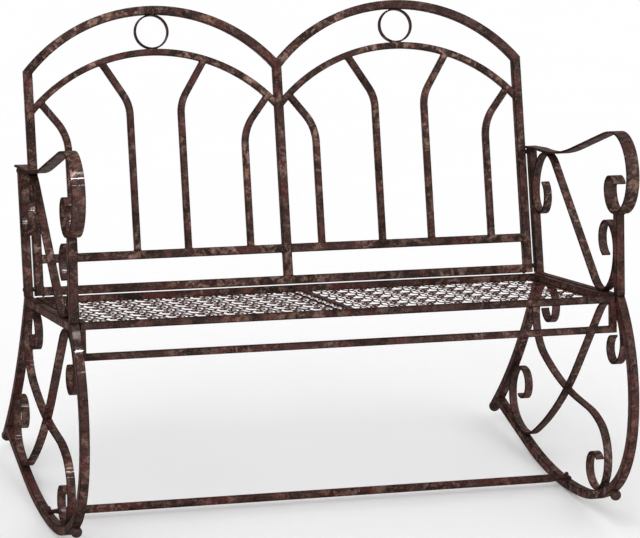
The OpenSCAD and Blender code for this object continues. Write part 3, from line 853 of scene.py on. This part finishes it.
def lower_stretcher():
    """Round tube whose ends are pressed flat and lie on the rockers, under studs and cap nuts."""
    shape = Shape()
    at = stretcher_frame()
    stops = STRETCHER_END + [(x, 1.0) for x in range(-450, 451, 50)]
    stops += [(-x, round_) for x, round_ in reversed(STRETCHER_END)]
    verts, edge = [], []
    for i, (x, round_) in enumerate(stops):
        for j in range(STRETCHER_SIDES):
            a = 2 * math.pi * j / STRETCHER_SIDES
            y, z = math.cos(a) * TUBE / 2, math.sin(a) * TUBE / 2
            flat_y = math.copysign(min(abs(math.cos(a)) * 1.5, 1), math.cos(a)) * TUBE / 2
            flat_z = max(-FLAT_T / 2, min(FLAT_T / 2, z))
            # The flat ends' narrow side faces count as near an edge, which darkens them as painted shade
            near = 0.8 if round_ < 0.5 and abs(flat_z) < FLAT_T / 2 else 0.0
            shrink = 0.93 if i in (0, len(stops) - 1) else 1
            verts.append(at @ Vector((x, shrink * (y * round_ + flat_y * (1 - round_)),
                                      z * round_ + flat_z * (1 - round_))))
            edge.append(near)
    shape.add(verts, skin(len(stops), STRETCHER_SIDES), edge)
    build("lower_stretcher_mesh", shape, stretcher_finish, ["lower_stretcher"])


# Seat sheets: one cell of the pattern, in shares of its period and mirrored in the left sheet

def smooth_line(points, steps=7):
    """Points on a smooth line through the given ones."""
    line = []
    ends = [points[0]] + points + [points[-1]]
    for k in range(1, len(ends) - 2):
        p0, p1, p2, p3 = (np.array(ends[k + i]) for i in (-1, 0, 1, 2))
        for i in range(steps):
            t = i / steps
            line.append(0.5 * (2 * p1 + (p2 - p0) * t + (2 * p0 - 5 * p1 + 4 * p2 - p3) * t * t
                               + (3 * p1 - p0 - 3 * p2 + p3) * t ** 3))
    return np.array(line + [np.array(points[-1])])


VINE = [(0.82, 0.0), (0.84, 0.14), (0.92, 0.42), (0.79, 0.63), (0.8, 0.83), (0.82, 1.0)]
BRANCH = [(0.92, 0.42), (1.07, 0.48), (1.19, 0.64), (1.27, 0.84), (1.31, 1.0)]
LEAF = [(0.92, 0.42), (0.97, 0.6), (1.05, 0.8), (1.17, 0.93), (1.27, 0.84)]
CURL = [(0.82, 0.0), (0.66, -0.07), (0.47, -0.08), (0.31, 0.0), (0.22, 0.15), (0.24, 0.3), (0.36, 0.36),
        (0.46, 0.29), (0.45, 0.2)]
TENDRIL = [(0.2, 0.66), (0.3, 0.54), (0.45, 0.47), (0.6, 0.52), (0.65, 0.66), (0.56, 0.77), (0.45, 0.74),
           (0.44, 0.66)]
TWIG = [(0.8, 0.83), (0.7, 0.88), (0.56, 0.86), (0.42, 0.85), (0.29, 0.9)]
SHOOT = [(-0.08, 0.42), (0.03, 0.33), (0.1, 0.2), (0.09, 0.05), (0.02, -0.04)]
DOTS = [(0.38, 0.19), (0.49, 0.65)]
STEM_HALF = 1.5
LINE_HALF = 0.85
DOT_R = 2.2
SHEET_FRAME = 5.5
SEAM_FRAME = 1.2
CELL_GRID = 56
SHEET_CHAMFER = 0.3
GRADIENT_STEP = 0.2
OFF_LINE = 1e-3


def cell_field(u, v, pitch_x, pitch_y, frame_sides):
    """Distance to the metal at points of a cell, negative in the metal."""
    size = np.array([pitch_x, pitch_y])
    moves = np.array([(i, j) for i in (-2, -1, 0, 1) for j in (-2, -1, 0, 1)])
    fine = np.concatenate([smooth_line(line) for line in (BRANCH, LEAF, CURL, TENDRIL, TWIG, SHOOT)])
    field = np.full(u.shape, 1e9)
    for points, half in ((smooth_line(VINE), STEM_HALF), (fine, LINE_HALF), (np.array(DOTS), DOT_R)):
        all_points = ((points[None] + moves[:, None]) * size).reshape(-1, 2)
        distance = np.hypot(u[..., None] - all_points[:, 0], v[..., None] - all_points[:, 1]).min(axis=-1)
        field = np.minimum(field, distance - half)
    west, east, south, north = frame_sides
    if west:
        field = np.minimum(field, u - SEAM_FRAME)
    for on, distance in ((east, pitch_x - u), (south, v), (north, pitch_y - v)):
        if on:
            field = np.minimum(field, distance - SHEET_FRAME)
    return field


def cell_mesh(pitch_x, pitch_y, frame_sides):
    """One cell of the sheet: vertices, faces and nearness to an edge, with its corner at 0, 0."""
    n = CELL_GRID
    us, vs = np.linspace(0, pitch_x, n + 1), np.linspace(0, pitch_y, n + 1)
    u, v = np.meshgrid(us, vs, indexing="ij")
    field = cell_field(u, v, pitch_x, pitch_y, frame_sides)
    field[np.abs(field) < OFF_LINE] = OFF_LINE
    verts, keys, lines = [], {}, []

    def crossing(a, b):
        key = (min(a, b), max(a, b))
        if key not in keys:
            fa, fb = field[key[0]], field[key[1]]
            t = fa / (fa - fb)
            keys[key] = len(verts)
            verts.append((u[key[0]] + t * (u[key[1]] - u[key[0]]), v[key[0]] + t * (v[key[1]] - v[key[0]])))
        return keys[key]

    for i in range(n):
        for j in range(n):
            corners = [(i, j), (i + 1, j), (i + 1, j + 1), (i, j + 1)]
            ins, outs = [], []
            for k in range(4):
                a, b = corners[k], corners[(k + 1) % 4]
                if field[a] < 0 <= field[b]:
                    outs.append((k, crossing(a, b)))
                elif field[b] < 0 <= field[a]:
                    ins.append((k, crossing(a, b)))
            for k, start in outs:
                after = sorted((((m - k) % 4), end) for m, end in ins)
                lines.append((start, after[0][1]))
    rim = len(verts)
    x, y = np.array(verts).T
    step = GRADIENT_STEP
    fields = [cell_field(x + dx, y + dy, pitch_x, pitch_y, frame_sides)
              for dx, dy in ((step, 0), (-step, 0), (0, step), (0, -step))]
    gradient = np.stack([fields[0] - fields[1], fields[2] - fields[3]], axis=-1)
    gradient *= SHEET_CHAMFER / np.maximum(np.linalg.norm(gradient, axis=1, keepdims=True), 1e-6)
    verts += [(0, 0), (pitch_x, 0), (pitch_x, pitch_y), (0, pitch_y)]
    flat, _, tris, origin, _, _ = delaunay_2d_cdt([Vector(p) for p in verts], lines, [], 0, 1e-5)
    out_of = {}
    for k, sources in enumerate(origin):
        for source in sources:
            out_of[source] = k
    moves = np.zeros((len(flat), 2))
    moves[[out_of[k] for k in range(rim)]] = gradient
    points = np.array([tuple(p) for p in flat])
    for axis, pitch in enumerate((pitch_x, pitch_y)):
        for side in (0, pitch):
            moves[np.abs(points[:, axis] - side) < 1e-4, axis] = 0
    grid_u, grid_v = points[:, 0] / pitch_x * n, points[:, 1] / pitch_y * n

    def inside(tri):
        x = min(max(sum(grid_u[k] for k in tri) / 3, 0), n - 1e-6)
        y = min(max(sum(grid_v[k] for k in tri) / 3, 0), n - 1e-6)
        i, j = int(x), int(y)
        x, y = x - i, y - j
        return (field[i, j] * (1 - x) * (1 - y) + field[i + 1, j] * x * (1 - y)
                + field[i, j + 1] * (1 - x) * y + field[i + 1, j + 1] * x * y) < 0

    metal = [tri for tri in tris if inside(tri)]
    count = len(points)
    solid = [(x, y, 0) for x, y in points] + [(x, y, -SHEET_CHAMFER) for x, y in points + moves]
    solid += [(x, y, -SHEET_T) for x, y in points + moves]
    faces = [tuple(tri) for tri in metal] + [tuple(2 * count + k for k in tri[::-1]) for tri in metal]
    for a, b in lines:
        a, b = out_of[a], out_of[b]
        faces.append((a, b, count + b, count + a))
        faces.append((count + a, count + b, 2 * count + b, 2 * count + a))
    # Nearness to an edge darkens the sheet's chamfered rims most and its underside a little, as painted
    # shade
    edge = [0.1] * count + [0.45] * count + [0.2] * count
    return np.array(solid), faces, edge


def seat_sheets():
    """Both punched sheets, of cells that differ only where they lie along the sheet's border."""
    x0, x1 = SHEET_GAP, SEAT_SIDE_X - SHEET_SHORT
    y0, y1 = -SHEET_PAST, SEAT_REAR_Y + SHEET_PAST
    pitch_x, pitch_y = (x1 - x0) / MOTIF_COLS, (y1 - y0) / MOTIF_ROWS
    cells = {}
    sheet = Shape()
    for i in range(MOTIF_COLS):
        for j in range(MOTIF_ROWS):
            sides = (i == 0, i == MOTIF_COLS - 1, j == 0, j == MOTIF_ROWS - 1)
            if sides not in cells:
                cells[sides] = cell_mesh(pitch_x, pitch_y, sides)
            verts, faces, edge = cells[sides]
            sheet.add(verts + np.array([x0 + i * pitch_x, y0 + j * pitch_y, SEAT_Z - SLIM / 2]), faces, edge)
    for side, shape in (("left", sheet.mirrored()), ("right", sheet)):
        name = side + "_seat_sheet"
        obj = build(name + "_mesh", shape, sheet_finish, [name], smooth=50)
        mesh = bmesh.new()
        mesh.from_mesh(obj.data)
        bmesh.ops.remove_doubles(mesh, verts=mesh.verts, dist=2e-6)
        loose = [v for v in mesh.verts if not v.link_faces]
        bmesh.ops.delete(mesh, geom=loose, context="VERTS")
        mesh.to_mesh(obj.data)
        mesh.free()


# Fasteners

def bolt(shape, at, head_seat, tip):
    """Bolt with a low round head that has a hexagon socket."""
    r, h = HEAD_D / 2, HEAD_H
    dome = (r * r + h * h) / (2 * h)
    profile = [(0, h - SOCKET_DEPTH), (SOCKET_R - 0.1, h - SOCKET_DEPTH), (SOCKET_R, h - 0.15)]
    profile += [(x, math.sqrt(dome * dome - x * x) - dome + h) for x in (2.2, 3.2, 4.2, 4.9)]
    profile += [(r - 0.05, 0.5), (r - 0.25, 0)]
    r = BOLT_D / 2 - 0.1
    profile = [(x, z + head_seat) for x, z in profile]
    profile += [(r, head_seat), (r, tip + 0.7), (r - 0.6, tip), (0, tip)]
    turned(shape, profile, at, 36)


def thread(shape, at, z0, z1):
    """Turns of thread on the end of a bolt that shows past its nut."""
    crest = BOLT_D / 2 - 0.02
    root = BOLT_D / 2 - THREAD_DEPTH
    profile = [(0, z1)]
    z = z1
    while z > z0 + THREAD_PITCH:
        profile += [(root, z), (crest, z - THREAD_PITCH / 2)]
        z -= THREAD_PITCH
    profile += [(root, z), (0, z)]
    turned(shape, profile, at, 24)


def spacer(shape, at, z0, z1):
    """Short round sleeve with its rims turned off."""
    r = SPACER_D / 2
    turned(shape, [(0, z1), (r - 0.4, z1), (r, z1 - 0.4), (r, z0 + 0.4), (r - 0.4, z0), (0, z0)], at)


def fasteners():
    """Bolts, inserts, nuts and spacers of back and seat, and the stretcher's studs and cap nuts."""
    back_at = [back_plane() @ Matrix.Translation((0, z / math.cos(math.radians(BACK_LEAN)), BACK_BOLT_AHEAD))
               for z in BACK_BOLT_Z]
    seat_at = [Matrix.Translation((0, y, SEAT_Z)) for y in SEAT_BOLT_Y]
    insert_face = PANEL_HALF + TUBE / 2 - TUBE_WALL
    nut_face = SEAT_SIDE_X - SLIM / 2
    shapes = {kind: Shape() for kind in ("back_bolts", "back_inserts", "back_spacers",
                                         "seat_bolts", "seat_nuts", "seat_spacers")}
    for side in (1, -1):
        turn = rotation(90 * side, "Y")
        for base in back_at:
            at = base @ turn
            bolt(shapes["back_bolts"], at, SIDE_X + TUBE / 2, insert_face - INSERT_H - 2)
            r, z0, z1 = BOLT_D / 2 + INSERT_WALL, insert_face - INSERT_H, insert_face
            turned(shapes["back_inserts"], [(0, z1), (r, z1), (r, z0), (0, z0)], at, 32)
            spacer(shapes["back_spacers"], at, PANEL_HALF + TUBE / 2, SIDE_X - TUBE / 2)
        for base in seat_at:
            at = base @ turn
            bolt(shapes["seat_bolts"], at, SIDE_X + TUBE / 2, nut_face - NUT_H - 1)
            thread(shapes["seat_bolts"], at, nut_face - NUT_H - 2, nut_face - NUT_H + 0.4)
            hexagon(shapes["seat_nuts"], NUT_AF, -nut_face, -nut_face + NUT_H, at @ rotation(180, "X"))
            spacer(shapes["seat_spacers"], at, SEAT_SIDE_X + SLIM / 2, SIDE_X - TUBE / 2)
    for node, shape in shapes.items():
        spaces = node.endswith("spacers")
        build(node + "_mesh", shape, tube_finish if spaces else bolt_finish, [node])

    studs, caps = Shape(), Shape()
    for x in (-SIDE_X, SIDE_X):
        at = stretcher_frame() @ Matrix.Translation((x, 0, 0))
        turned(studs, [(0, STUD_TOP), (STUD_R, STUD_TOP), (STUD_R, -FLAT_T / 2), (0, -FLAT_T / 2)], at, 24)
        hexagon(caps, CAP_NUT_AF, FLAT_T / 2, CAP_NUT_TOP, at, chamfer=0.4)
        dome_z = CAP_NUT_TOP - 0.1
        arc = [math.pi / 2 * k / 8 for k in range(9)]
        dome = [(CAP_DOME_R * math.sin(a), dome_z + CAP_DOME_R * math.cos(a)) for a in arc]
        turned(caps, [(0, dome[0][1])] + dome[1:] + [(0, dome_z)], at, 32)
    build("stretcher_studs_mesh", studs, bolt_finish, ["stretcher_studs"])
    build("stretcher_cap_nuts_mesh", caps, bolt_finish, ["stretcher_cap_nuts"])


for side_name, side_sign in (("left", -1), ("right", 1)):
    side_frame(side_name, side_sign * SIDE_X)
balls()
back()
seat()
lower_stretcher()
seat_sheets()
fasteners()
build("weld_beads", WELDS, weld_finish, smooth=60)


# Floor, light and camera

CAMERA_YAW = 15.453
CAMERA_PITCH = 5.951
CAMERA_ROLL = -1.0616
CAMERA_PLACE = (-1586.0, -5514.5, 1088.2)
CAMERA_LENS = 177.35
SENSOR_WIDTH = 36
FLOOR_HALF = 40
FLOOR_GAP = 0.0005
FLOOR_LIFT = 0.12
WORLD_LIGHT = 0.74
WORLD_TINT = (0.985, 0.985, 0.99, 1)
WHITE = (1, 1, 1, 1)
FLOOR_TONES = (0.9, 0.9, 0.9, 1), (0.92, 0.92, 0.92, 1)
STRIP_TURN = 8
STRIP_DISTANCE = 3.6
STRIP_LENGTH = 1.8
STRIP_TARGET = (0, 0, 0.6)


def seen_ray(tree):
    """1 for rays that show the background: to the camera, in reflections and through glass."""
    path = tree.nodes.new("ShaderNodeLightPath")
    total = path.outputs["Is Camera Ray"]
    for name in ("Is Glossy Ray", "Is Transmission Ray"):
        add = tree.nodes.new("ShaderNodeMath")
        add.operation = "MAXIMUM"
        tree.links.new(total, add.inputs[0])
        tree.links.new(path.outputs[name], add.inputs[1])
        total = add.outputs[0]
    return total


def floor():
    """Wide pale floor, a hair under the rockers, lifted a little where the background is seen."""
    mesh = bpy.data.meshes.new("floor")
    signs = ((-1, -1), (1, -1), (1, 1), (-1, 1))
    corners = [(sx * FLOOR_HALF, sy * FLOOR_HALF, -FLOOR_GAP) for sx, sy in signs]
    mesh.from_pydata(corners, [], [(0, 1, 2, 3)])
    n = Nodes("pale_floor")
    n.surface("Base Color", n.mix(n.noise(3, 2), *FLOOR_TONES))
    n.surface("Roughness", 0.9)
    n.surface("Specular IOR Level", 0.0)
    n.surface("Emission Color", WHITE)
    n.surface("Emission Strength", n.times(seen_ray(n.tree), FLOOR_LIFT))
    mesh.materials.append(n.material)
    obj = bpy.data.objects.new("floor", mesh)
    bpy.context.scene.collection.objects.link(obj)


def lamp(name, kind, direction, power):
    """Light of a kind that shines in a direction."""
    light = bpy.data.lights.new(name, kind)
    light.energy = power
    obj = bpy.data.objects.new(name, light)
    obj.rotation_euler = Vector(direction).to_track_quat("-Z", "Y").to_euler()
    bpy.context.scene.collection.objects.link(obj)
    return obj


def strip(name, rise, size, power):
    """Long light that only shows in reflections, seen from the bench at some rise."""
    turn, rise = math.radians(STRIP_TURN), math.radians(rise)
    target = Vector(STRIP_TARGET)
    away = Vector((math.sin(turn) * math.cos(rise), -math.cos(turn) * math.cos(rise), math.sin(rise)))
    place = target + STRIP_DISTANCE * away
    obj = lamp(name, "AREA", target - place, power)
    obj.location = place
    obj.data.shape = "RECTANGLE"
    obj.data.size = STRIP_LENGTH
    obj.data.size_y = size
    obj.visible_diffuse = False
    obj.visible_camera = False


def sun(name, direction, power, spread):
    """Soft light from far away, for the side faces."""
    obj = lamp(name, "SUN", direction, power)
    obj.data.angle = math.radians(spread)


def world():
    """Studio light from all sides, white where the background is seen."""
    scene_world = bpy.data.worlds.new("studio")
    scene_world.use_nodes = True
    tree = scene_world.node_tree
    background = tree.nodes["Background"]
    background.inputs["Color"].default_value = WORLD_TINT
    background.inputs["Strength"].default_value = WORLD_LIGHT
    white = tree.nodes.new("ShaderNodeBackground")
    white.inputs["Color"].default_value = WHITE
    mix = tree.nodes.new("ShaderNodeMixShader")
    link = tree.links.new
    link(seen_ray(tree), mix.inputs["Fac"])
    link(background.outputs[0], mix.inputs[1])
    link(white.outputs[0], mix.inputs[2])
    link(mix.outputs[0], tree.nodes["World Output"].inputs["Surface"])
    bpy.context.scene.world = scene_world


def camera():
    """Camera at the photo's angle, which leans with the bench."""
    yaw, pitch, roll = (math.radians(a) for a in (CAMERA_YAW, CAMERA_PITCH, CAMERA_ROLL))
    forward = Vector((math.sin(yaw) * math.cos(pitch), math.cos(yaw) * math.cos(pitch), -math.sin(pitch)))
    right = Vector((math.cos(yaw), -math.sin(yaw), 0))
    up = right.cross(forward)
    right, up = (right * math.cos(roll) + up * math.sin(roll), up * math.cos(roll) - right * math.sin(roll))
    turn = Matrix((right, up, -forward)).transposed().to_4x4()
    lean = rotation(-REST_LEAN, "X")
    data = bpy.data.cameras.new("camera")
    data.sensor_fit = "HORIZONTAL"
    data.sensor_width = SENSOR_WIDTH
    data.lens = CAMERA_LENS
    obj = bpy.data.objects.new("camera", data)
    obj.matrix_world = Matrix.Translation(REST @ Vector(CAMERA_PLACE)) @ lean @ turn
    bpy.context.scene.collection.objects.link(obj)
    bpy.context.scene.camera = obj


floor()
world()
camera()
sun("key", (0.55, 0.75, -1.0), power=0.8, spread=28)
sun("fill", (-0.6, 0.7, -0.5), power=0.3, spread=40)
strip("high_strip", rise=57, size=0.05, power=130)
strip("low_strip", rise=40, size=0.03, power=15)
strip("top_box", rise=71, size=0.4, power=50)
bpy.context.scene.view_settings.view_transform = "Standard"
